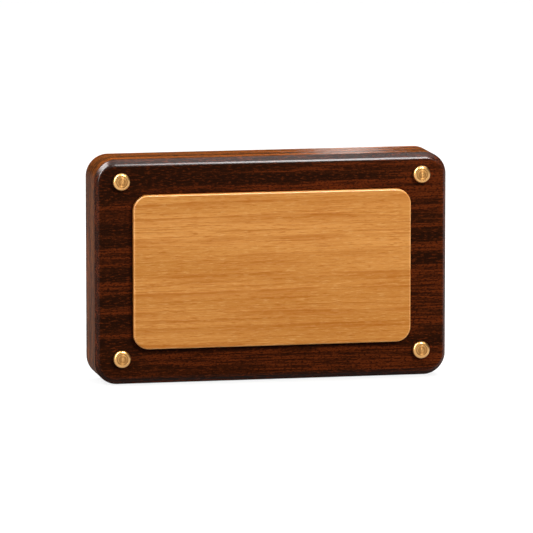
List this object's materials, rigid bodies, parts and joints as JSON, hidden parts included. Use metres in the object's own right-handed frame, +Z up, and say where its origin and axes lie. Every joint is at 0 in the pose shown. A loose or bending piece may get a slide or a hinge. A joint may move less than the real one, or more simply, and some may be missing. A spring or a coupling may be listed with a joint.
{
  "type": "award plaque",
  "caption": "Free-standing award plaque: thick dark-wood board with a raised light-wood face panel, brass screw caps at the corners and a keyhole hanger in the back.",
  "frame": {"origin": "Middle of the felt strip's underside, where the plaque stands on a desk", "axes": "+Z up, the face panel and the caps face -Y, +X to the right seen from the front"},
  "size_m": [0.203, 0.0355, 0.1284],
  "materials": {
    "dark_wood": "dark-stained hardwood with horizontal grain under satin-gloss lacquer",
    "honey_wood": "honey-coloured fine-grained hardwood under satin lacquer",
    "tape_foam": "pale double-sided foam tape",
    "black_felt": "black felt",
    "brass": "polished rim and spun face with concentric turning marks",
    "washer_nylon": "matt black nylon",
    "insert_brass": "plain machined brass",
    "hanger_steel": "zinc-plated steel, lightly brushed"
  },
  "bodies": {
    "plaque": {"board": "dark_wood", "face_panel": "honey_wood", "panel_tape_upper": "tape_foam", "panel_tape_lower": "tape_foam", "base_felt": "black_felt", "thread_insert_top_left": "insert_brass", "thread_insert_top_right": "insert_brass", "thread_insert_bottom_left": "insert_brass", "thread_insert_bottom_right": "insert_brass", "hanger_plate": "hanger_steel", "hanger_screw_upper": "hanger_steel", "hanger_screw_lower": "hanger_steel"},
    "washer_top_left": {"cap_washer_top_left": "washer_nylon"},
    "cap_top_left": {"cap_top_left": "brass"},
    "washer_top_right": {"cap_washer_top_right": "washer_nylon"},
    "cap_top_right": {"cap_top_right": "brass"},
    "washer_bottom_left": {"cap_washer_bottom_left": "washer_nylon"},
    "cap_bottom_left": {"cap_bottom_left": "brass"},
    "washer_bottom_right": {"cap_washer_bottom_right": "washer_nylon"},
    "cap_bottom_right": {"cap_bottom_right": "brass"}
  },
  "joints": [
    {"name": "cap_turn_top_left", "type": "hinge", "parent": "plaque", "child": "washer_top_left", "pos_m": [-0.0866, -0.016, 0.1161], "axis": [0, -1, 0], "range_deg": [0, 2880]},
    {"name": "cap_lift_top_left", "type": "slide", "parent": "washer_top_left", "child": "cap_top_left", "axis": [0, -1, 0], "range_m": [0, 0.0064]},
    {"name": "cap_turn_top_right", "type": "hinge", "parent": "plaque", "child": "washer_top_right", "pos_m": [0.0866, -0.016, 0.1161], "axis": [0, -1, 0], "range_deg": [0, 2880]},
    {"name": "cap_lift_top_right", "type": "slide", "parent": "washer_top_right", "child": "cap_top_right", "axis": [0, -1, 0], "range_m": [0, 0.0064]},
    {"name": "cap_turn_bottom_left", "type": "hinge", "parent": "plaque", "child": "washer_bottom_left", "pos_m": [-0.0866, -0.016, 0.0152], "axis": [0, -1, 0], "range_deg": [0, 2880]},
    {"name": "cap_lift_bottom_left", "type": "slide", "parent": "washer_bottom_left", "child": "cap_bottom_left", "axis": [0, -1, 0], "range_m": [0, 0.0064]},
    {"name": "cap_turn_bottom_right", "type": "hinge", "parent": "plaque", "child": "washer_bottom_right", "pos_m": [0.0866, -0.016, 0.0152], "axis": [0, -1, 0], "range_deg": [0, 2880]},
    {"name": "cap_lift_bottom_right", "type": "slide", "parent": "washer_bottom_right", "child": "cap_bottom_right", "axis": [0, -1, 0], "range_m": [0, 0.0064]}
  ],
  "couplings": [
    {"joint": "cap_turn_top_left", "follows": "cap_lift_top_left", "rad_per_m": 7853.9},
    {"joint": "cap_turn_top_right", "follows": "cap_lift_top_right", "rad_per_m": 7853.9},
    {"joint": "cap_turn_bottom_left", "follows": "cap_lift_bottom_left", "rad_per_m": 7853.9},
    {"joint": "cap_turn_bottom_right", "follows": "cap_lift_bottom_right", "rad_per_m": 7853.9}
  ]
}
